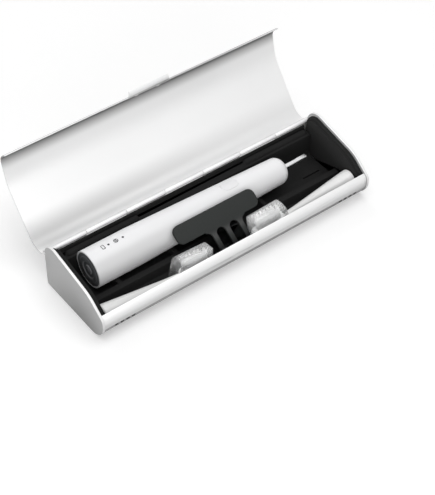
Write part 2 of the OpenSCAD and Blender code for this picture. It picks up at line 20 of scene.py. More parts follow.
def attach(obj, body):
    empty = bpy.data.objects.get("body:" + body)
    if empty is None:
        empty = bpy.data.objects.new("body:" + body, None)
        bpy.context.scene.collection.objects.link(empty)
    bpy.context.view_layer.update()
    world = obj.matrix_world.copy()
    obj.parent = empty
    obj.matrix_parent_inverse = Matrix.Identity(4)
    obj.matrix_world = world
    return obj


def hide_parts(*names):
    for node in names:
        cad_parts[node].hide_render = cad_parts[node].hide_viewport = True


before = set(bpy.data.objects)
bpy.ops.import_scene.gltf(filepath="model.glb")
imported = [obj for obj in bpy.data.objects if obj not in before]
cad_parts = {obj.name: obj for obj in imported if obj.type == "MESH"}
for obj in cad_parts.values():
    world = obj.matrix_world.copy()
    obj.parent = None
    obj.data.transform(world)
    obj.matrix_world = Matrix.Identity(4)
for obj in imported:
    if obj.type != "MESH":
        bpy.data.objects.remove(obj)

log = logging.getLogger("travel_case")
MM = 0.001
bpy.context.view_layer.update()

Colour = tuple[float, float, float]
Piece = bpy.types.Object
Material = bpy.types.Material
NodeTree = bpy.types.NodeTree
Node = bpy.types.Node
Socket = bpy.types.NodeSocket

NODES: dict[str, Piece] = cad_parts
WHITE = (1.0, 1.0, 1.0, 1.0)

# Middle of the noise, and of the masks made from it
MIDDLE = 0.5
# y and z of the handle's axis
HANDLE_AXIS = (9.86 * MM, 22.2 * MM)
# Half the case's length
HALF_LEN = 117.5 * MM
# The front's punched slots lie in front of this y
NOSE_Y = -30.0 * MM
# The way the open case looks, from which the painted shade on its sheet metal's turned faces is worked
# out
OPEN_WAY = (-0.434, -0.547, 0.716)


def grey(level: float) -> Colour:
    """A colour with three equal parts."""
    return (level, level, level)


class Side(Enum):
    """The end of the case a brush head lies at."""

    LEFT = -1
    RIGHT = 1

    @property
    def word(self) -> str:
        """The word its nodes start with."""
        return self.name.lower()

    @property
    def seat(self) -> tuple[float, float]:
        """y and z of the middle of its head's base."""
        return (-22.3 * MM, 12.85 * MM) if self is Side.LEFT else (-21.5 * MM, 14.75 * MM)


class Grain(Enum):
    """Fine surface textures of the case's materials: scale in cells per metre, and depth in metres."""

    BLASTED = (5200.0, 0.00003)
    MOULDED = (2600.0, 0.00006)
    SATIN = (3600.0, 0.000012)
    RUBBERY = (3200.0, 0.00005)


@dataclass
class Tree:
    """A node tree being built, with short calls for adding and joining nodes.

    Attributes:
        tree: The Blender node tree.
    """

    tree: NodeTree

    def add(self, kind: str, **settings: object) -> Node:
        """Adds a node.

        Args:
            kind: Blender's node type name.
            settings: Attributes set on the node.

        Returns:
            The new node.
        """
        node = self.tree.nodes.new(kind)
        for name, value in settings.items():
            setattr(node, name, value)
        return node

    def join(self, source: Socket, target: Socket) -> None:
        """Links an output to an input."""
        self.tree.links.new(source, target)

    def maths(self, operation: str, a: object, b: object = 0.0, clamp: bool = False) -> Socket:
        """Adds a Math node.

        Args:
            operation: The operation's name.
            a: First value, a number or an output.
            b: Second value, a number or an output.
            clamp: Whether the result is kept between 0 and 1.

        Returns:
            The node's output.
        """
        node = self.add("ShaderNodeMath", operation=operation, use_clamp=clamp)
        for socket, value in zip(node.inputs, (a, b)):
            self.feed(socket, value)
        return node.outputs[0]

    def feed(self, socket: Socket, value: object) -> None:
        """Sets a socket to a number, or links it to an output.

        Args:
            socket: The socket.
            value: A number or an output.
        """
        if isinstance(value, Socket):
            self.join(value, socket)
        else:
            socket.default_value = value

    def over(self, factor: Socket, under: Socket | Colour, colour: Colour) -> Socket:
        """Lays a colour over another.

        Args:
            factor: How much of the colour.
            under: The colour below, or the output that gives it.
            colour: The colour on top.

        Returns:
            The mixed colour.
        """
        node = self.add("ShaderNodeMix", data_type="RGBA")
        self.join(factor, node.inputs[0])
        self.feed(node.inputs[6], under if isinstance(under, Socket) else (*under, 1.0))
        node.inputs[7].default_value = (*colour, 1.0)
        return node.outputs[2]

    def split(self, source: Socket) -> Node:
        """Splits a vector into its X, Y and Z outputs.

        Args:
            source: The vector.

        Returns:
            The node with the three outputs.
        """
        node = self.add("ShaderNodeSeparateXYZ")
        self.join(source, node.inputs[0])
        return node

    def place(self) -> Node:
        """The place on the object, split into X, Y and Z."""
        return self.split(self.add("ShaderNodeTexCoord").outputs["Object"])

    def noise(self, scale: Socket | float, detail: float, roughness: float = 0.5) -> Socket:
        """Adds noise that is fixed to the object.

        Args:
            scale: Its scale, a number or an output.
            detail: How many finer layers it has.
            roughness: How strong these layers are.

        Returns:
            The noise, about 0.5.
        """
        node = self.add("ShaderNodeTexNoise")
        self.join(self.add("ShaderNodeTexCoord").outputs["Object"], node.inputs["Vector"])
        for name, value in (("Scale", scale), ("Detail", detail), ("Roughness", roughness)):
            self.feed(node.inputs[name], value)
        return node.outputs["Fac"]

    def effect(self, group: NodeTree, **values: float) -> Node:
        """Places a shared effect.

        Args:
            group: The effect's node group.
            values: Its inputs, with an underscore for a space.

        Returns:
            The group's node.
        """
        node = self.add("ShaderNodeGroup", node_tree=group)
        for name, value in values.items():
            node.inputs[name.replace("_", " ")].default_value = value
        return node

    def bump(self, height: Socket, depth: float, shader: Node) -> None:
        """Gives a shader the relief of a height.

        Args:
            height: The height, from 0 to 1.
            depth: What a height of 1 is, in metres.
            shader: The shader.
        """
        node = self.add("ShaderNodeBump")
        node.inputs["Distance"].default_value = depth
        self.join(height, node.inputs["Height"])
        self.join(node.outputs["Normal"], shader.inputs["Normal"])

    def hypot(self, a: Socket, b: Socket) -> Socket:
        """Length of the vector that two numbers make.

        Args:
            a: First number.
            b: Second number.

        Returns:
            The length.
        """
        squares = [self.maths("MULTIPLY", side, side) for side in (a, b)]
        return self.maths("SQRT", self.maths("ADD", *squares))

    def smooth(self, value: Socket, source: tuple[float, float],
               target: tuple[float, float]) -> Socket:
        """Maps a value smoothly from one range to another.

        Args:
            value: The value.
            source: The range it comes in.
            target: What the ends of that range become.

        Returns:
            The mapped value.
        """
        node = self.add("ShaderNodeMapRange", interpolation_type="SMOOTHSTEP")
        self.join(value, node.inputs["Value"])
        low, high = sorted(source)
        ends = target if source[0] <= source[1] else target[::-1]
        for name, number in zip(("From Min", "From Max", "To Min", "To Max"), (low, high, *ends)):
            node.inputs[name].default_value = number
        return node.outputs["Result"]

    def ramp(self, value: Socket, stops: Sequence[tuple[float, Colour]]) -> Socket:
        """Maps a value to colours.

        Args:
            value: The value.
            stops: Positions and colours.

        Returns:
            The colour output.
        """
        node = self.add("ShaderNodeValToRGB")
        band = node.color_ramp
        while len(band.elements) < len(stops):
            band.elements.new(0.5)
        for element, (place, colour) in zip(band.elements, stops):
            element.position = place
            element.color = (*colour, 1.0)
        self.join(value, node.inputs[0])
        return node.outputs[0]


def new_material(name: str) -> tuple[Material, Tree, Node]:
    """Makes a material that holds one plain surface shader.

    Args:
        name: The material's name.

    Returns:
        The material, its tree and the shader.
    """
    material = bpy.data.materials.new(name)
    material.use_nodes = True
    return material, Tree(material.node_tree), material.node_tree.nodes["Principled BSDF"]


@dataclass
class EffectGroup:
    """A shader node group used by several finishes.

    Attributes:
        name: The group's name.
        inputs: Names and defaults of its number inputs.
        outputs: Names of its number outputs.
    """

    name: str
    inputs: dict[str, float]
    outputs: tuple[str, ...] = ("Mask",)

    def make(self) -> tuple[Tree, Node, Node]:
        """Makes the group's tree and sockets.

        Returns:
            The tree, its input node and its output node.
        """
        group = bpy.data.node_groups.new(self.name, "ShaderNodeTree")
        for name, default in self.inputs.items():
            socket = group.interface.new_socket(name, in_out="INPUT", socket_type="NodeSocketFloat")
            socket.default_value = default
        for name in self.outputs:
            group.interface.new_socket(name, in_out="OUTPUT", socket_type="NodeSocketFloat")
        tree = Tree(group)
        return tree, tree.add("NodeGroupInput"), tree.add("NodeGroupOutput")


@dataclass
class Effects:
    """The node groups that the finishes share.

    Attributes:
        coarse_share: Scale of the grain's coarse part, as a share of its fine part.
        speck_scale: Specks of dust per metre.
        grain: The group of fine grain.
        patches: The group of broad patches.
        dust_and_top_light: The group of speckled dusting with painted top light.
        band: The group of soft bands of painted shade and painted light.
        turned: The group of turned faces, where painted shade and painted light go.
    """

    coarse_share: float = 0.35
    speck_scale: float = 900.0
    grain: NodeTree = field(init=False)
    patches: NodeTree = field(init=False)
    dust_and_top_light: NodeTree = field(init=False)
    band: NodeTree = field(init=False)
    turned: NodeTree = field(init=False)

    def __post_init__(self) -> None:
        """Builds the groups."""
        self.grain = self.build_grain()
        self.patches = self.build_patches()
        self.dust_and_top_light = self.build_dusting_and_top_light()
        self.band = self.build_painted_band()
        self.turned = self.build_turned()

    def build_grain(self) -> NodeTree:
        """Fine pebbled grain.

        Returns:
            A group that puts out a height and a small shade mask.
        """
        tree, given, result = EffectGroup(
            "fine_grain", {"Scale": 3000.0, "Spread": 1.0}, ("Height", "Shade")).make()
        scale = given.outputs["Scale"]
        fine = tree.noise(scale, detail=3.0)
        coarse = tree.noise(tree.maths("MULTIPLY", scale, self.coarse_share), detail=2.0)
        height = tree.maths("MULTIPLY", fine, tree.maths("ADD", coarse, MIDDLE))
        tree.join(height, result.inputs["Height"])
        shade = tree.maths("MULTIPLY", tree.maths("SUBTRACT", fine, MIDDLE), given.outputs["Spread"])
        tree.join(tree.maths("ADD", shade, MIDDLE, clamp=True), result.inputs["Shade"])
        return tree.tree

    def build_patches(self) -> NodeTree:
        """Broad soft patches, as handled metal and plastic have.

        Returns:
            A group that puts out a mask.
        """
        tree, given, result = EffectGroup("soft_patches", {"Scale": 18.0, "Contrast": 1.0}).make()
        noise = tree.noise(given.outputs["Scale"], detail=4.0, roughness=0.6)
        spread = tree.maths("SUBTRACT", noise, MIDDLE)
        spread = tree.maths("MULTIPLY", spread, given.outputs["Contrast"])
        tree.join(tree.maths("ADD", spread, MIDDLE, clamp=True), result.inputs["Mask"])
        return tree.tree

    def build_dusting_and_top_light(self) -> NodeTree:
        """A thin speckled film on faces that look up: dusting, and painted light on the tops.

        Returns:
            A group that puts out a mask.
        """
        tree, given, result = EffectGroup("dusting_and_top_light", {"Amount": 0.1}).make()
        facing = tree.split(tree.add("ShaderNodeNewGeometry").outputs["Normal"])
        up = tree.maths("POWER", tree.maths("MAXIMUM", facing.outputs["Z"], 0.0), 2.0)
        specks = tree.noise(self.speck_scale, detail=5.0)
        specks = tree.maths("MULTIPLY", specks, given.outputs["Amount"])
        tree.join(tree.maths("MULTIPLY", up, specks, clamp=True), result.inputs["Mask"])
        return tree.tree

    def build_painted_band(self) -> NodeTree:
        """A soft band along the case, about the line with a given y and z, for painted shade and
        painted light.

        Returns:
            A group that puts out a mask.
        """
        tree, given, result = EffectGroup("painted_light_band", {
            "Y": 0.0, "Z": 0.0, "Reach": 0.01, "Steep": 1.0, "Strength": 1.0, "Fade": 1.0}).make()
        place = tree.place()
        back, up = (tree.maths("SUBTRACT", place.outputs[axis], given.outputs[axis]) for axis in "YZ")
        front = tree.maths("MULTIPLY", back, tree.maths("MULTIPLY", given.outputs["Steep"], -1.0))
        away = tree.hypot(tree.maths("MAXIMUM", back, front), up)
        away = tree.smooth(tree.maths("DIVIDE", away, given.outputs["Reach"]), (0.0, 1.0), (1.0, 0.0))
        right = tree.smooth(place.outputs["X"], (-HALF_LEN, HALF_LEN), (0.0, 1.0))
        lost = tree.maths("MULTIPLY", right, tree.maths("SUBTRACT", 1.0, given.outputs["Fade"]))
        band = tree.maths("MULTIPLY", away, tree.maths("SUBTRACT", 1.0, lost))
        tree.join(tree.maths("MULTIPLY", band, given.outputs["Strength"]), result.inputs["Mask"])
        return tree.tree

    def build_turned(self) -> NodeTree:
        """Masks for painted shade and light: faces that look along the case, and faces turned from the
        way the open case looks.

        Returns:
            A group that puts out a mask of each.
        """
        tree, given, result = EffectGroup("turned_faces", {
            "End From": 0.6, "Away From": 0.5}, ("End", "Away")).make()
        normal = tree.add("ShaderNodeTexCoord").outputs["Normal"]
        end = tree.maths("ABSOLUTE", tree.split(normal).outputs["X"])
        lean = tree.add("ShaderNodeVectorMath", operation="DOT_PRODUCT")
        tree.join(normal, lean.inputs[0])
        lean.inputs[1].default_value = OPEN_WAY
        away = tree.maths("SUBTRACT", 1.0, tree.maths("ABSOLUTE", lean.outputs["Value"]))
        for name, turned in (("End", end), ("Away", away)):
            start = given.outputs[f"{name} From"]
            share = tree.maths("DIVIDE", tree.maths("SUBTRACT", turned, start),
                               tree.maths("SUBTRACT", 1.0, start))
            tree.join(tree.smooth(share, (0.0, 1.0), (0.0, 1.0)), result.inputs[name])
        return tree.tree


@dataclass(frozen=True)
class Finish:
    """A material made of a base colour with grain, broad patches and a little dusting with painted top
    light.

    Attributes:
        name: The material's name.
        dark: Colour in the low places of its grain and patches.
        light: Colour in the high places.
        roughness: Middle roughness.
        spread: How far the roughness wanders either way.
        grain: The fine texture.
        metallic: 1 for bare metal.
        dust_and_top_light: How much speckled dusting, with painted light on the tops, lies on faces
            that look up.
        dust_and_top_light_colour: Colour of that dusting and painted top light.
        coat: Weight of a clear coat.
        patch_scale: Patches per metre.
        patch_contrast: How strongly the patches stand out.
        specular: Strength of the plain gloss.
    """

    name: str
    dark: Colour
    light: Colour
    roughness: float
    spread: float = 0.05
    grain: Grain = Grain.MOULDED
    metallic: float = 0.0
    dust_and_top_light: float = 0.0
    dust_and_top_light_colour: Colour = grey(0.35)
    coat: float = 0.0
    patch_scale: float = 16.0
    patch_contrast: float = 1.6
    specular: float = 0.5

    def base(self, effects: Effects) -> tuple[Material, Tree, Node, Socket]:
        """Builds the material up to its colour.

        Args:
            effects: The shared node groups.

        Returns:
            The material, its tree, the surface shader and the colour, which isn't joined yet.
        """
        material, tree, shader = new_material(f"{self.name}_finish")
        scale, depth = self.grain.value
        grain = tree.effect(effects.grain, Scale=scale)
        patches = tree.effect(effects.patches, Scale=self.patch_scale, Contrast=self.patch_contrast)
        both = tree.maths("ADD", grain.outputs["Shade"], patches.outputs["Mask"])
        colour = tree.over(tree.maths("DIVIDE", both, 2.0), self.dark, self.light)
        # Dusting, and painted light on faces that look up
        if self.dust_and_top_light:
            film = tree.effect(effects.dust_and_top_light, Amount=self.dust_and_top_light)
            colour = tree.over(film.outputs["Mask"], colour, self.dust_and_top_light_colour)
        wander = tree.maths("MULTIPLY", tree.maths("SUBTRACT", patches.outputs["Mask"], MIDDLE),
                            2.0 * self.spread)
        tree.join(tree.maths("ADD", wander, self.roughness, clamp=True), shader.inputs["Roughness"])
        tree.bump(grain.outputs["Height"], depth, shader)
        shader.inputs["Metallic"].default_value = self.metallic
        shader.inputs["Coat Weight"].default_value = self.coat
        shader.inputs["Specular IOR Level"].default_value = self.specular
        return material, tree, shader, colour

    def build(self, effects: Effects) -> Material:
        """Builds the material.

        Args:
            effects: The shared node groups.

        Returns:
            The material.
        """
        material, tree, shader, colour = self.base(effects)
        tree.join(colour, shader.inputs["Base Color"])
        return material


@dataclass(frozen=True)
class PaintedLightBand:
    """A soft band of painted shade along the case, or of painted light where its grey is lighter than
    the finish.

    Attributes:
        y: Place across the case.
        z: Height.
        reach: How far the band spreads, in metres.
        shade: Its painted grey.
        strength: How much of that grey is reached in its middle.
        steep: How many times faster it fades towards the front than towards the back.
        fade: Share of its strength that is left at the right end of the case.
    """

    y: float
    z: float
    reach: float
    shade: float
    strength: float
    steep: float = 1.0
    fade: float = 1.0


@dataclass(frozen=True)
class BandedFinish(Finish):
    """A finish with soft bands of painted shade and painted light along the case, and painted greys on
    turned faces.

    Attributes:
        away: Painted shade on faces turned square to the way the open case looks.
        away_from: How far a face has turned, from 0 to 1, where the painted shade starts.
        away_shade_share: How much of that painted shade is reached.
        painted_bands: The soft bands of painted shade and painted light along the case.
        ends: Grey painted on faces that look along the case, painted shade where darker than the finish
            and painted light where lighter, or None to leave them.
        end_from: How far a face looks along the case, from 0 to 1, where that grey starts.
        slots: Lowest and highest z of the front's punched slots, whose walls carry painted shade.
        slot_shade_grey: The painted shade on the walls.
        wall_below: How far at most a slot's wall looks to the front, from 0 to 1.
    """

    away: Colour = grey(0.2)
    away_from: float = 0.5
    away_shade_share: float = 0.9
    painted_bands: tuple[PaintedLightBand, ...] = ()
    ends: float | None = None
    end_from: float = 0.6
    slots: tuple[float, float] | None = None
    slot_shade_grey: float = 0.01
    wall_below: float = 0.8

    def slot_shade_walls(self, tree: Tree, low: float, high: float) -> Socket:
        """The walls of the punched slots, which get painted shade.

        Args:
            tree: The material's tree.
            low: The slots' lowest z.
            high: Their highest z.

        Returns:
            The mask of the walls.
        """
        place = tree.place()
        facing = tree.split(tree.add("ShaderNodeTexCoord").outputs["Normal"])
        wall = tree.maths("LESS_THAN", tree.maths("ABSOLUTE", facing.outputs["Y"]), self.wall_below)
        for axis, test, limit in (("Y", "LESS_THAN", NOSE_Y), ("Z", "LESS_THAN", high),
                                  ("Z", "GREATER_THAN", low)):
            wall = tree.maths("MULTIPLY", wall, tree.maths(test, place.outputs[axis], limit))
        return wall

    def build(self, effects: Effects) -> Material:
        """Builds the material.

        Args:
            effects: The shared node groups.

        Returns:
            The material.
        """
        material, tree, shader, colour = self.base(effects)
        turned = tree.effect(effects.turned, End_From=self.end_from, Away_From=self.away_from)
        # Painted shade, or painted light where the grey is lighter, on faces that look along the case
        if self.ends is not None:
            colour = tree.over(turned.outputs["End"], colour, grey(self.ends))
        # Bands of painted shade, and of painted light where their grey is lighter
        for bend in self.painted_bands:
            band = tree.effect(effects.band, Y=bend.y, Z=bend.z, Reach=bend.reach, Steep=bend.steep,
                               Strength=bend.strength, Fade=bend.fade)
            colour = tree.over(band.outputs["Mask"], colour, grey(bend.shade))
        # Painted shade on faces turned edge-on to the way the open case looks
        if self.away_shade_share:
            shade = tree.maths("MULTIPLY", turned.outputs["Away"], self.away_shade_share)
            colour = tree.over(shade, colour, self.away)
        # Painted shade on the walls of the front's punched slots
        if self.slots:
            colour = tree.over(self.slot_shade_walls(tree, *self.slots), colour, grey(self.slot_shade_grey))
        tree.join(colour, shader.inputs["Base Color"])
        return material


@dataclass(frozen=True)
class RingedFinish(Finish):
    """A finish with turned rings about the handle's axis.

    Attributes:
        centre: The axis's y and z.
        rings: Radii where the colour changes, and how light each band is from 0 to 1.
        ring_colour: The colour of a band of lightness 1.
        reach: Radius of the turned face.
    """

    centre: tuple[float, float] = (0.0, 0.0)
    rings: tuple[tuple[float, float], ...] = ()
    ring_colour: Colour = grey(0.2)
    reach: float = 14.0 * MM

    def build(self, effects: Effects) -> Material:
        """Builds the material.

        Args:
            effects: The shared node groups.

        Returns:
            The material.
        """
        material, tree, shader, colour = self.base(effects)
        place = tree.place()
        y, z = (tree.maths("SUBTRACT", place.outputs[axis], middle)
                for axis, middle in zip("YZ", self.centre))
        radius = tree.maths("DIVIDE", tree.hypot(y, z), self.reach)
        bands = tree.ramp(radius, [(r / self.reach, grey(light)) for r, light in self.rings])
        tree.join(tree.over(bands, colour, self.ring_colour), shader.inputs["Base Color"])
        return material


@dataclass(frozen=True)
class ClearFinish:
    """Clear moulded plastic.

    Attributes:
        name: The material's name.
        tint: Its colour.
        roughness: Middle roughness.
        transmission: How much light passes.
        ripple: Depth of the moulding's waviness, in metres.
        mouth: Distances from the middle of the case between which it turns clearer.
        mouth_alpha: Opacity at its open mouth.
        wave_scale: Waves per metre.
        wave_contrast: How strongly the waves stand out.
        spread: How far the roughness wanders either way.
        ior: Index of refraction.
        shadow: Share of a lamp's light that it lets through.
    """

    name: str
    tint: Colour
    roughness: float
    transmission: float
    ripple: float
    mouth: tuple[float, float]
    mouth_alpha: float = 0.45
    wave_scale: float = 320.0
    wave_contrast: float = 1.3
    spread: float = 0.03
    ior: float = 1.49
    shadow: float = 0.96

    def build(self, effects: Effects) -> Material:
        """Builds the material.

        Args:
            effects: The shared node groups.

        Returns:
            The material.
        """
        material, tree, shader = new_material(f"{self.name}_finish")
        waves = tree.effect(effects.patches, Scale=self.wave_scale, Contrast=self.wave_contrast)
        tree.bump(waves.outputs["Mask"], self.ripple, shader)
        wander = tree.maths("MULTIPLY", waves.outputs["Mask"], 2.0 * self.spread)
        tree.join(tree.maths("ADD", wander, self.roughness - self.spread), shader.inputs["Roughness"])
        shader.inputs["Base Color"].default_value = (*self.tint, 1.0)
        along = tree.maths("ABSOLUTE", tree.place().outputs["X"])
        tree.join(tree.smooth(along, self.mouth, (1.0, self.mouth_alpha)), shader.inputs["Alpha"])
        shader.inputs["Transmission Weight"].default_value = self.transmission
        shader.inputs["IOR"].default_value = self.ior
        passed = tree.add("ShaderNodeBsdfTransparent")
        passed.inputs["Color"].default_value = (*grey(self.shadow), 1.0)
        lets_light_in = tree.add("ShaderNodeMixShader")
        tree.join(tree.add("ShaderNodeLightPath").outputs["Is Shadow Ray"], lets_light_in.inputs[0])
        tree.join(shader.outputs[0], lets_light_in.inputs[1])
        tree.join(passed.outputs[0], lets_light_in.inputs[2])
        output = material.node_tree.nodes["Material Output"]
        tree.join(lets_light_in.outputs[0], output.inputs["Surface"])
        return material


FINISHES: tuple[Finish | ClearFinish, ...] = (
    # Painted shade: bands above the lid's hinge, along the lid's free edge and along the bottom of the
    # front; edge-on faces and slot walls.
    BandedFinish("case_metal", grey(0.92), grey(0.96), 0.42, 0.03, Grain.BLASTED, metallic=0.2,
                 specular=0.4, away=grey(0.05), away_from=0.46, away_shade_share=1.0,
                 slots=(8.6 * MM, 13.0 * MM),
                 painted_bands=(PaintedLightBand(47.5 * MM, 30.0 * MM, 19.0 * MM, 0.4, 0.8, steep=2.2, fade=0.3),
                        PaintedLightBand(80.5 * MM, 83.0 * MM, 11.5 * MM, 0.2, 0.9),
                        PaintedLightBand(-33.6 * MM, 13.0 * MM, 5.0 * MM, 0.45, 0.55, fade=0.7),
                        PaintedLightBand(-33.0 * MM, 9.5 * MM, 2.8 * MM, 0.15, 0.7))),
    # Painted shade on the caps' end faces and edge-on faces, darker towards the bottom.
    BandedFinish("cap_metal", grey(0.86), grey(0.90), 0.46, 0.03, Grain.BLASTED, metallic=0.2,
                 away=grey(0.3), away_from=0.7, ends=0.52,
                 painted_bands=(PaintedLightBand(-10.0 * MM, -8.0 * MM, 46.0 * MM, 0.18, 0.8),)),
    # Painted light on the tray's faces that look along the case, and on its tops with the dusting.
    BandedFinish("tray_plastic", grey(0.018), grey(0.024), 0.5, 0.05, dust_and_top_light=0.02, specular=0.0,
                 away_shade_share=0.0, ends=0.042),
    # Painted light where the fingers start, painted shade towards their feet, painted top light with
    # the dusting.
    BandedFinish("retainer_plastic", (0.027, 0.029, 0.028), (0.032, 0.035, 0.034), 0.55, 0.04,
                 Grain.RUBBERY, dust_and_top_light=0.03, specular=0.1, away_shade_share=0.0,
                 painted_bands=(PaintedLightBand(-17.0 * MM, 23.0 * MM, 5.0 * MM, 0.08, 0.7),
                        PaintedLightBand(-26.0 * MM, 16.0 * MM, 7.0 * MM, 0.01, 0.8))),
    # Painted shade in two bands on the handle's front side.
    BandedFinish("handle_plastic", (0.90, 0.90, 0.912), (0.94, 0.94, 0.952), 0.38, 0.04, Grain.SATIN,
                 coat=0.1, away_shade_share=0.0,
                 painted_bands=(PaintedLightBand(0.86 * MM, 32.9 * MM, 10.0 * MM, 0.55, 0.5, fade=0.5),
                        PaintedLightBand(-4.1 * MM, 23.4 * MM, 14.0 * MM, 0.55, 0.62, fade=0.7))),
    Finish("button_plastic", (0.83, 0.83, 0.842), (0.88, 0.88, 0.892), 0.42, 0.04, Grain.SATIN),
    RingedFinish("base_plastic", (0.10, 0.105, 0.11), (0.125, 0.13, 0.14), 0.4, 0.05,
                 centre=HANDLE_AXIS, ring_colour=(0.6, 0.6, 0.62), specular=0.3,
                 rings=((0.0, 0.35), (2.8 * MM, 0.0), (3.4 * MM, 0.6), (3.9 * MM, 0.0),
                        (6.0 * MM, 0.0), (6.4 * MM, 0.5), (7.0 * MM, 0.05), (9.6 * MM, 0.0),
                        (10.0 * MM, 0.3), (10.5 * MM, 0.0))),
    Finish("steel", (0.74, 0.74, 0.75), (0.84, 0.84, 0.85), 0.22, 0.06, Grain.BLASTED, metallic=1.0),
    Finish("head_plastic", (0.80, 0.80, 0.796), (0.85, 0.85, 0.846), 0.3, 0.04, Grain.SATIN, coat=0.15),
    Finish("bristle_nylon", grey(0.84), grey(0.95), 0.4, 0.05, Grain.SATIN),
    ClearFinish("cover_clear", (0.98, 0.985, 0.985), 0.045, 0.82, 0.00003, (42.0 * MM, 48.0 * MM)),
    Finish("seal_rubber", grey(0.014), grey(0.022), 0.6, 0.05, Grain.RUBBERY),
    Finish("coil_copper", (0.45, 0.2, 0.09), (0.58, 0.28, 0.13), 0.34, 0.05, Grain.SATIN, metallic=1.0),
    Finish("cell_wrap", (0.03, 0.07, 0.15), (0.045, 0.1, 0.2), 0.35, 0.04, Grain.SATIN),
    Finish("chassis_plastic", grey(0.3), grey(0.36), 0.5, 0.05),
    Finish("board_green", (0.02, 0.1, 0.04), (0.03, 0.14, 0.06), 0.4, 0.05, Grain.SATIN),
    Finish("light_window", (0.012, 0.012, 0.013), (0.02, 0.02, 0.022), 0.4, 0.03, Grain.SATIN),
)


@dataclass
class Finisher:
    """Builds every finish once and puts it on pieces by slot name.

    Attributes:
        effects: The shared node groups.
        made: The materials by slot name.
    """

    effects: Effects
    made: dict[str, Material] = field(default_factory=dict)

    def __post_init__(self) -> None:
        """Builds the materials."""
        for finish in FINISHES:
            self.made[finish.name] = finish.build(self.effects)

    def dress(self, piece: Piece, slot: str) -> Piece:
        """Gives a piece one finish and names its slot.

        Args:
            piece: The object.
            slot: The record's material slot, also the finish's name.

        Returns:
            The object.
        """
        piece.data.materials.clear()
        piece.data.materials.append(self.made[slot])
        log.info("%s dressed in %s", piece.name, slot)
        return piece

    def round_off(self, node: str, slot: str, body: str, width: float, segments: int = 2) -> None:
        """Lets a dressed copy with rounded edges stand for a solid.

        Args:
            node: The solid's name.
            slot: The finish's name.
            body: The body it rides on.
            width: Width of the rounding.
            segments: Faces across each rounding.
        """
        piece = self.dress(softened(node, width, segments), slot)
        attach(piece, body)


def linked(name: str, data: bpy.types.ID) -> Piece:
    """Makes an object in the scene from a mesh, lamp or camera.

    Args:
        name: The object's name.
        data: What it shows.

    Returns:
        The object.
    """
    thing = bpy.data.objects.new(name, data)
    bpy.context.scene.collection.objects.link(thing)
    return thing


def shaded(mesh: bpy.types.Mesh, angle: float = 32.0) -> None:
    """Smooths a mesh, leaving edges sharper than an angle crisp.

    Args:
        mesh: The mesh.
        angle: The angle in degrees.
    """
    mesh.shade_smooth()
    mesh.set_sharp_from_angle(angle=math.radians(angle))


def piece_from(name: str, verts: Iterable[Sequence[float]],
               faces: Iterable[Sequence[int]]) -> Piece:
    """Makes an object from points and faces.

    Args:
        name: The object's name.
        verts: Points in metres.
        faces: Corner indices of each face.

    Returns:
        The object, linked to the scene.
    """
    mesh = bpy.data.meshes.new(name)
    mesh.from_pydata([tuple(v) for v in verts], [], [tuple(f) for f in faces])
    mesh.validate()
    mesh.update()
    return linked(name, mesh)


# Points nearer than this are one point
WELD = 1e-6
# Faces that meet at less than this angle are one face
FLAT = math.radians(0.4)
# Edges that turn by more than this angle are rounded
SHARP = math.radians(35.0)


def softened(node: str, width: float, segments: int) -> Piece:
    """Makes a copy of a solid with its sharp edges rounded.

    Args:
        node: The solid's name.
        width: Width of the rounding.
        segments: Faces across each rounding.

    Returns:
        The new piece, which stands for the solid.
    """
    mesh = NODES[node].data.copy()
    mesh.name = f"{node}_dressed"
    shape = bmesh.new()
    shape.from_mesh(mesh)
    bmesh.ops.remove_doubles(shape, verts=shape.verts, dist=WELD)
    bmesh.ops.dissolve_limit(shape, angle_limit=FLAT, verts=shape.verts, edges=shape.edges)
    sharp = [e for e in shape.edges if e.is_manifold and e.calc_face_angle(0.0) > SHARP]
    bmesh.ops.bevel(shape, geom=sharp, offset=width, offset_type="OFFSET", segments=segments,
                    profile=0.5, affect="EDGES", clamp_overlap=False)
    bmesh.ops.recalc_face_normals(shape, faces=shape.faces)
    shape.to_mesh(mesh)
    shape.free()
    shaded(mesh)
    piece = linked(f"{node}_dressed", mesh)
    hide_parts(node)
    return piece


@dataclass
class CaseBase:
    """The metal base with its end caps, dark liners, tray and pins.

    Attributes:
        finisher: Gives the finishes.
        sheet_edge: Rounding of the sheet's cut edges.
        cap_edge: Rounding of the end caps.
        tray_edge: Rounding of the tray's edges.
    """

    finisher: Finisher
    sheet_edge: float = 0.22 * MM
    cap_edge: float = 0.3 * MM
    tray_edge: float = 0.35 * MM

    def build(self) -> None:
        """Dresses every piece of the base."""
        for node, slot, edge in (
            ("retainer_bracket", "tray_plastic", self.sheet_edge),
            ("base_shell", "case_metal", self.sheet_edge),
            ("left_end_cap", "cap_metal", self.cap_edge),
            ("right_end_cap", "cap_metal", self.cap_edge),
            ("left_end_liner", "tray_plastic", self.tray_edge),
            ("right_end_liner", "tray_plastic", self.tray_edge),
            ("tray", "tray_plastic", self.tray_edge),
        ):
            self.finisher.round_off(node, slot, "case", edge)
        self.finisher.dress(NODES["hinge_pin"], "steel")


@dataclass
class Lid:
    """The bent sheet lid.

    Attributes:
        finisher: Gives the finishes.
        sheet_edge: Rounding of the sheet's cut edges.
    """

    finisher: Finisher
    sheet_edge: float = 0.22 * MM

    def build(self) -> None:
        """Dresses the lid."""
        self.finisher.round_off("lid_shell", "case_metal", "lid", self.sheet_edge)


@dataclass
class Retainer:
    """The plate with three fingers that holds the handle down.

    Attributes:
        finisher: Gives the finishes.
        edge: Rounding of its edges.
    """

    finisher: Finisher
    edge: float = 0.5 * MM

    def build(self) -> None:
        """Dresses the retainer and its pin."""
        self.finisher.round_off("retainer", "retainer_plastic", "retainer", self.edge, segments=3)
        self.finisher.dress(NODES["retainer_pin"], "steel")


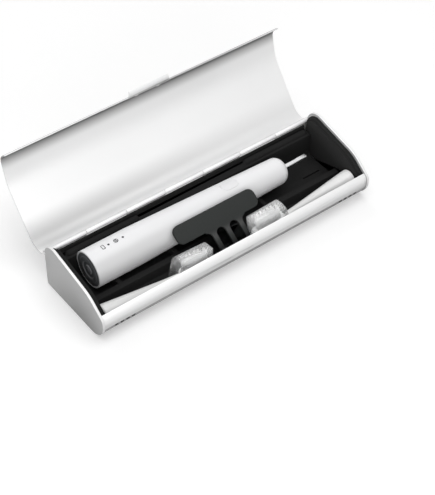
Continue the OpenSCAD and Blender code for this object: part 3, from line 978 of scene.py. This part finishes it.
@dataclass
class Toothbrush:
    """The handle with what is inside it, its button, its shaft and its marks.

    Attributes:
        finisher: Gives the finishes.
        radius: The handle's radius near its base.
        mark_lift: How far the printed marks stand off the handle.
        battery_x: Place of the battery mark along the case.
        battery_size: Its width, its height and the radius of its corners.
        wave_x: Place of the round mark along the case.
        wave_radius: Radius of its ring.
        wave_half: Half the height of the wavy lines in it.
        wave_swing: How far these lines swing to either side.
        line: Width of the printed lines.
        thin_line: Width of the wavy lines.
    """

    finisher: Finisher
    radius: float = 14.0 * MM
    mark_lift: float = 0.08 * MM
    battery_x: float = -86.0 * MM
    battery_size: tuple[float, float, float] = (2.0 * MM, 3.4 * MM, 0.35 * MM)
    wave_x: float = -75.6 * MM
    wave_radius: float = 1.5 * MM
    wave_half: float = 1.15 * MM
    wave_swing: float = 0.22 * MM
    line: float = 0.5 * MM
    thin_line: float = 0.42 * MM

    def wrapped(self, x: float, across: float) -> Vector:
        """A point of a mark, just above the handle's skin.

        Args:
            x: Place along the case.
            across: Distance from the top line round the skin, towards the front.

        Returns:
            The point.
        """
        turn = across / self.radius
        reach = self.radius + self.mark_lift
        y, z = HANDLE_AXIS
        return Vector((x, y - reach * math.sin(turn), z + reach * math.cos(turn)))

    def stroke(self, name: str, path: Sequence[tuple[float, float]], width: float,
               closed: bool) -> Piece:
        """A printed line that follows the handle's skin.

        Args:
            name: The piece's name.
            path: Points as place along the case and distance round the skin.
            width: The line's width.
            closed: Whether the last point joins the first.

        Returns:
            The piece.
        """
        flat = [Vector((x, a)) for x, a in path]
        count = len(flat)
        verts: list[Vector] = []
        for i, here in enumerate(flat):
            before = flat[(i - 1) % count] if closed or i else here
            after = flat[(i + 1) % count] if closed or i < count - 1 else here
            way = (after - before).normalized()
            side = Vector((-way.y, way.x)) * width / 2
            verts += [self.wrapped(*(here + side)), self.wrapped(*(here - side))]
        spans = count if closed else count - 1
        faces = []
        for i in range(spans):
            a, b = 2 * i, 2 * ((i + 1) % count)
            faces.append((a, a + 1, b + 1, b))
        return piece_from(name, verts, faces)

    def marks(self) -> list[Piece]:
        """The battery mark and the round wave mark near the handle's base.

        Returns:
            The pieces.
        """
        wide, tall, r = self.battery_size
        outline = []
        for sx, sy, start in ((1, 1, 0), (-1, 1, 90), (-1, -1, 180), (1, -1, 270)):
            for k in range(5):
                turn = math.radians(start + 22.5 * k)
                outline.append((self.battery_x + sx * (wide / 2 - r) + r * math.cos(turn),
                                sy * (tall / 2 - r) + r * math.sin(turn)))
        pieces = [self.stroke("battery_mark", outline, self.line, True)]
        ring = [(self.wave_x + self.wave_radius * math.cos(turn), self.wave_radius * math.sin(turn))
                for turn in (math.radians(10 * k) for k in range(36))]
        pieces.append(self.stroke("wave_mark_ring", ring, self.line, True))
        for number, row in ((1, -0.3), (2, 0.3)):
            middle = self.wave_x + row * self.wave_radius
            wave = [(middle + self.wave_swing * math.sin(4.0 * t), self.wave_half * t)
                    for t in (k / 8.0 for k in range(-8, 9))]
            pieces.append(self.stroke(f"wave_mark_line_{number}", wave, self.thin_line, False))
        return pieces

    def build(self) -> None:
        """Dresses the toothbrush."""
        for node, slot, body, edge in (
            ("handle_housing", "handle_plastic", "toothbrush", 0.12 * MM),
            ("base_cap", "base_plastic", "toothbrush", 0.3 * MM),
            ("drive_shaft", "steel", "drive_shaft", 0.2 * MM),
            ("power_button", "button_plastic", "power_button", 0.1 * MM),
        ):
            self.finisher.round_off(node, slot, body, edge)
        for node, slot in (
            ("base_seal", "seal_rubber"), ("charging_coil", "coil_copper"),
            ("battery_cell", "cell_wrap"), ("chassis", "chassis_plastic"),
            ("circuit_board", "board_green"), ("button_switch", "base_plastic"),
            ("motor", "steel"), ("shaft_seal", "seal_rubber"), ("light_guides", "light_window"),
        ):
            self.finisher.dress(NODES[node], slot)
        for piece in self.marks():
            self.finisher.dress(piece, "light_window")
            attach(piece, "toothbrush")


@dataclass
class BrushHead:
    """One brush head with its bristles, and the clear cover over them.

    Attributes:
        finisher: Gives the finishes.
        side: The end of the case it lies at.
        start: Place of its base along the case.
        roll: How far it lies rolled towards the handle, in degrees.
        lean: How far it leans down towards its tip, in degrees.
        length: Its length.
        columns: Tuft columns along it.
        rows: Tuft rows across it.
        pitch: Spacing of the tufts along and across.
        tip: Distance from the middle of the tufts to the head's end.
        foot: Height of the tufts' feet above the axis.
        tallest: Length of the longest bristles.
        drops: How much shorter the inner columns' bristles are, even ones and odd ones.
        tuft: Radius of a tuft.
        strands: Bristles in a tuft.
        strand: Share of a bristle's length, and its radius there.
        corners: Corners of a bristle's section.
        splay: How far a bristle's end leans out to either side.
        uneven: How much shorter than the others a bristle may be.
        seed: Start of the random draws.
        plate: Half length and half width of the base that carries the tufts.
        plate_z: Lowest and highest place of that base.
        plate_steps: Faces round each of its ends.
    """

    finisher: Finisher
    side: Side
    start: float = 110.3 * MM
    roll: float = 8.0
    lean: float = 2.6
    length: float = 91.0 * MM
    columns: int = 7
    rows: int = 4
    pitch: tuple[float, float] = (2.9 * MM, 2.3 * MM)
    tip: float = 13.2 * MM
    foot: float = 2.9 * MM
    tallest: float = 10.0 * MM
    drops: tuple[float, float] = (0.4 * MM, 1.0 * MM)
    tuft: float = 0.86 * MM
    strands: int = 34
    strand: tuple[tuple[float, float], ...] = (
        (0.0, 0.085 * MM), (0.55, 0.085 * MM), (0.95, 0.075 * MM), (1.0, 0.03 * MM))
    corners: int = 5
    splay: float = 0.12 * MM
    uneven: float = 0.35 * MM
    seed: int = 11
    plate: tuple[float, float] = (12.2 * MM, 4.3 * MM)
    plate_z: tuple[float, float] = (2.1 * MM, 2.9 * MM)
    plate_steps: int = 12

    def place(self) -> Matrix:
        """The transform from the head's own frame to the case.

        Returns:
            The matrix.
        """
        y, z = self.side.seat
        lay = Matrix.Translation((self.side.value * self.start, y, z)) @ Matrix.Rotation(
            math.radians(-self.roll), 4, "X")
        flip = Matrix.Scale(-1.0 if self.side is Side.RIGHT else 1.0, 4, (1.0, 0.0, 0.0))
        return lay @ flip @ Matrix.Rotation(math.radians(self.lean), 4, "Y")

    def tuft_places(self) -> list[tuple[float, float, float]]:
        """Places and heights of the tufts.

        Returns:
            x, y and bristle length of each.
        """
        places = []
        for c in range(self.columns):
            end = c in (0, self.columns - 1)
            height = self.tallest - (0.0 if end else self.drops[c % 2])
            x = self.length - self.tip + (c - (self.columns - 1) / 2) * self.pitch[0]
            for r in range(self.rows):
                if end and r in (0, self.rows - 1):
                    continue
                places.append((x, (r - (self.rows - 1) / 2) * self.pitch[1], height))
        return places

    def strand_mesh(self) -> tuple[list[Vector], list[Sequence[int]]]:
        """Tapered strands with rounded ends, in round tufts.

        Returns:
            Their points and faces.
        """
        verts: list[Vector] = []
        faces: list[Sequence[int]] = []
        dice = random.Random(self.seed + self.side.value)
        golden = math.pi * (3.0 - math.sqrt(5.0))
        around = range(self.corners)
        for x, y, height in self.tuft_places():
            for k in range(self.strands):
                reach = self.tuft * math.sqrt((k + 0.5) / self.strands)
                px, py = x + reach * math.cos(k * golden), y + reach * math.sin(k * golden)
                lean = Vector((dice.uniform(-1, 1), dice.uniform(-1, 1))) * self.splay
                tall = height - dice.uniform(0.0, self.uneven)
                first = len(verts)
                for level, radius in self.strand:
                    bend = lean * level * level
                    for turn in (2.0 * math.pi * q / self.corners for q in around):
                        verts.append(Vector((px + bend.x + radius * math.cos(turn),
                                             py + bend.y + radius * math.sin(turn),
                                             self.foot + tall * level)))
                for low in range(first, len(verts) - self.corners, self.corners):
                    for q in around:
                        a, b = low + q, low + (q + 1) % self.corners
                        faces.append((a, b, b + self.corners, a + self.corners))
                faces.append(tuple(len(verts) - self.corners + q for q in around))
        return verts, faces

    def bristles(self) -> Piece:
        """Makes the bristles, on the thin base with round ends that carries the tufts.

        Returns:
            The piece.
        """
        verts, faces = self.strand_mesh()
        base = len(verts)
        width = self.plate[1]
        half = self.plate[0] - width
        middle = self.length - self.tip
        steps = self.plate_steps
        ring = 2 * steps + 2
        for z in self.plate_z:
            for k in range(ring):
                right = k <= steps
                turn = math.pi * (k if right else k - 1) / steps - math.pi / 2
                x = middle + (half if right else -half) + width * math.cos(turn)
                verts.append(Vector((x, width * math.sin(turn), z)))
        faces.append(tuple(base + ring + k for k in range(ring)))
        faces.append(tuple(base + k for k in reversed(range(ring))))
        for k in range(ring):
            a, b = base + k, base + (k + 1) % ring
            faces.append((a, b, b + ring, a + ring))
        piece = piece_from(f"{self.side.word}_bristles_dressed", verts, faces)
        piece.data.transform(self.place())
        if self.side is Side.RIGHT:
            piece.data.flip_normals()
        shaded(piece.data, angle=50.0)
        return piece

    def build(self) -> None:
        """Dresses the head and its cover."""
        word = self.side.word
        self.finisher.round_off(f"{word}_head_body", "head_plastic", f"{word}_head", 0.3 * MM)
        self.finisher.dress(NODES[f"{word}_head_sleeve"], "steel")
        bristles = self.finisher.dress(self.bristles(), "bristle_nylon")
        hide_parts(f"{word}_bristles")
        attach(bristles, f"{word}_head")
        self.finisher.round_off(f"{word}_cover", "cover_clear", f"{word}_cover", 0.25 * MM)


@dataclass(frozen=True)
class Softbox:
    """A soft rectangular lamp that points at the case.

    Attributes:
        name: Its name.
        place: Where it stands.
        size: Its width and height.
        power: Its power in watts.
        target: Where it points.
    """

    name: str
    place: tuple[float, float, float]
    size: tuple[float, float]
    power: float
    target: tuple[float, float, float] = (0.0, 0.0, 0.03)

    def build(self) -> None:
        """Adds the lamp."""
        data = bpy.data.lights.new(self.name, "AREA")
        data.shape = "RECTANGLE"
        data.size, data.size_y = self.size
        data.energy = self.power
        lamp = linked(self.name, data)
        lamp.location = self.place
        way = Vector(self.target) - Vector(self.place)
        lamp.rotation_euler = way.to_track_quat("-Z", "Y").to_euler()


@dataclass
class Studio:
    """Floor, soft lights, white surround and the camera.

    Attributes:
        azimuth: Camera azimuth in degrees.
        elevation: Camera elevation in degrees.
        roll: Camera roll in degrees.
        distance: Distance to the middle of the view, in metres.
        focus: Focal length in picture heights.
        aim: Offset of the middle of the view.
        front_by: How far in front of the frame's origin the view's middle was fitted.
        grow: Length of the case as built, over its length when the camera was fitted.
        sensor: Height of the camera's sensor, in Blender's millimetres.
        surround: Light of the surround on the object.
        floor_half: Half the floor's width.
        floor_greys: Colour of the floor as it lights the case, and as it is seen.
        floor_glow: Strength of the seen floor's own light, near the case and far from it.
        glow_reach: Distances between which that light rises.
        lamps: The soft lights.
    """

    azimuth: float = -38.40
    elevation: float = 45.70
    roll: float = 1.105
    distance: float = 0.9634
    focus: float = 1375.8 / 495.0
    aim: tuple[float, float] = (-1.98 * MM, 4.67 * MM)
    front_by: float = 2.45 * MM
    grow: float = 235.0 / 230.0
    sensor: float = 36.0
    surround: float = 0.40
    floor_half: float = 6.0
    floor_greys: tuple[float, float] = (0.5, 0.82)
    floor_glow: tuple[float, float] = (0.26, 1.0)
    glow_reach: tuple[float, float] = (0.3, 1.6)
    lamps: tuple[Softbox, ...] = (
        Softbox("top_softbox", (0.05, -0.2, 1.08), (1.0, 0.8), 5.8),
        Softbox("front_softbox", (-0.55, -0.85, 0.45), (1.0, 0.5), 3.1),
        Softbox("rear_softbox", (0.1, 1.0, 0.8), (0.9, 0.5), 2.6),
    )

    def camera(self) -> None:
        """Places the camera where the photograph was taken from."""
        a, e, r = (math.radians(v) for v in (self.azimuth, self.elevation, self.roll))
        back = Vector((math.sin(a) * math.cos(e), -math.cos(a) * math.cos(e), math.sin(e)))
        level = Vector((math.cos(a), math.sin(a), 0.0))
        above = back.cross(level)
        right = math.cos(r) * level + math.sin(r) * above
        up = -math.sin(r) * level + math.cos(r) * above
        eye = right * -self.aim[0] + up * -self.aim[1] + back * self.distance
        eye = (eye - Vector((0.0, self.front_by, 0.0))) * self.grow
        data = bpy.data.cameras.new("picture_camera")
        data.sensor_fit = "VERTICAL"
        data.sensor_height = self.sensor
        data.lens = self.focus * self.sensor
        camera = linked("picture_camera", data)
        turn = Matrix((right, up, back)).transposed().to_4x4()
        camera.matrix_world = Matrix.Translation(eye) @ turn
        bpy.context.scene.camera = camera

    def plainly_seen(self, tree: Tree) -> Socket:
        """1 where the camera sees a thing directly, or in gloss, or through clear plastic.

        Args:
            tree: The tree the nodes go in.

        Returns:
            The mask.
        """
        ray = tree.add("ShaderNodeLightPath")
        seen = tree.maths("MAXIMUM", ray.outputs["Is Camera Ray"], ray.outputs["Is Transmission Ray"])
        return tree.maths("MAXIMUM", seen, ray.outputs["Is Glossy Ray"])

    def floor(self) -> None:
        """Lays the plain pale floor."""
        half = self.floor_half
        corners = [(x * half, y * half, 0) for x, y in ((-1, -1), (1, -1), (1, 1), (-1, 1))]
        piece = piece_from("floor", corners, [(0, 1, 2, 3)])
        material, tree, shader = new_material("floor_white")
        seen = self.plainly_seen(tree)
        lit, shown = self.floor_greys
        tree.join(tree.over(seen, grey(lit), grey(shown)), shader.inputs["Base Color"])
        shader.inputs["Emission Color"].default_value = WHITE
        away = tree.add("ShaderNodeVectorMath", operation="LENGTH")
        tree.join(tree.add("ShaderNodeTexCoord").outputs["Object"], away.inputs[0])
        glow = tree.smooth(away.outputs["Value"], self.glow_reach, self.floor_glow)
        tree.join(tree.maths("MULTIPLY", seen, glow), shader.inputs["Emission Strength"])
        shader.inputs["Roughness"].default_value = 0.9
        shader.inputs["Specular IOR Level"].default_value = 0.1
        piece.data.materials.append(material)

    def world(self) -> None:
        """A white surround that lights the object less than it shows."""
        world = bpy.data.worlds.new("white_surround")
        bpy.context.scene.world = world
        world.use_nodes = True
        tree = Tree(world.node_tree)
        ground = world.node_tree.nodes["Background"]
        ground.inputs["Color"].default_value = WHITE
        shown = tree.maths("MULTIPLY", self.plainly_seen(tree), 1.0 - self.surround)
        tree.join(tree.maths("ADD", shown, self.surround), ground.inputs["Strength"])

    def build(self) -> None:
        """Sets up the studio."""
        self.camera()
        self.floor()
        self.world()
        for lamp in self.lamps:
            lamp.build()
        bpy.context.scene.view_settings.view_transform = "Standard"
        log.info("studio set up")


def main() -> None:
    """Builds the dressed part and its studio."""
    logging.basicConfig(level=logging.INFO, format="%(message)s")
    finisher = Finisher(Effects())
    CaseBase(finisher).build()
    Lid(finisher).build()
    Retainer(finisher).build()
    Toothbrush(finisher).build()
    for side in Side:
        BrushHead(finisher, side).build()
    Studio().build()
    bpy.context.view_layer.update()


if __name__ == "__main__":
    main()
